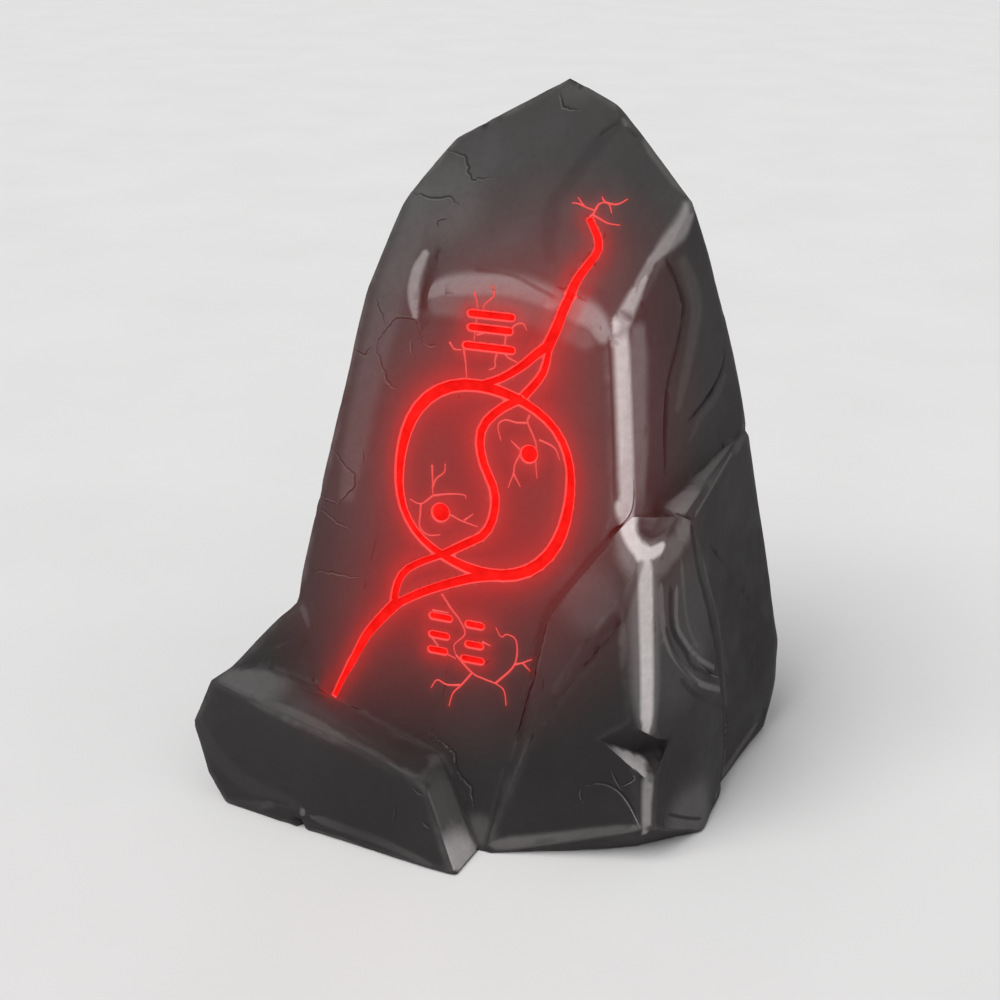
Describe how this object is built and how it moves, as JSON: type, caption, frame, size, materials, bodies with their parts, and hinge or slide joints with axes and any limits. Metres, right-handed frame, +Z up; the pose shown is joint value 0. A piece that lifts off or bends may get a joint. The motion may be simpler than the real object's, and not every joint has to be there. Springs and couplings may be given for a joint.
{
  "type": "rune stone",
  "caption": "Tall faceted boulder with a low lip at its foot, its leaning front carved with a ring sign and rows of bars whose channels hold glowing red inlay",
  "frame": {"origin": "bottom centre of the bounding box, on the ground", "axes": "+Z up, the longest extent; the carved face looks along -Y and leans back from it, with its left towards -X"},
  "size_m": [1.1356, 0.8288, 1.4608],
  "materials": {
    "stone": "rough weathered dark rock with paler worn edges",
    "glow_inlay": "glassy red fill that glows"
  },
  "bodies": {
    "root": {"rune_stone": "stone", "inlay_sign": "glow_inlay", "inlay_dot_left": "glow_inlay", "inlay_dot_right": "glow_inlay", "inlay_bar_upper_1": "glow_inlay", "inlay_bar_upper_2": "glow_inlay", "inlay_bar_upper_3": "glow_inlay", "inlay_bar_lower_left_1": "glow_inlay", "inlay_bar_lower_left_2": "glow_inlay", "inlay_bar_lower_left_3": "glow_inlay", "inlay_bar_lower_right_1": "glow_inlay", "inlay_bar_lower_right_2": "glow_inlay", "inlay_bar_lower_right_3": "glow_inlay"}
  },
  "joints": []
}
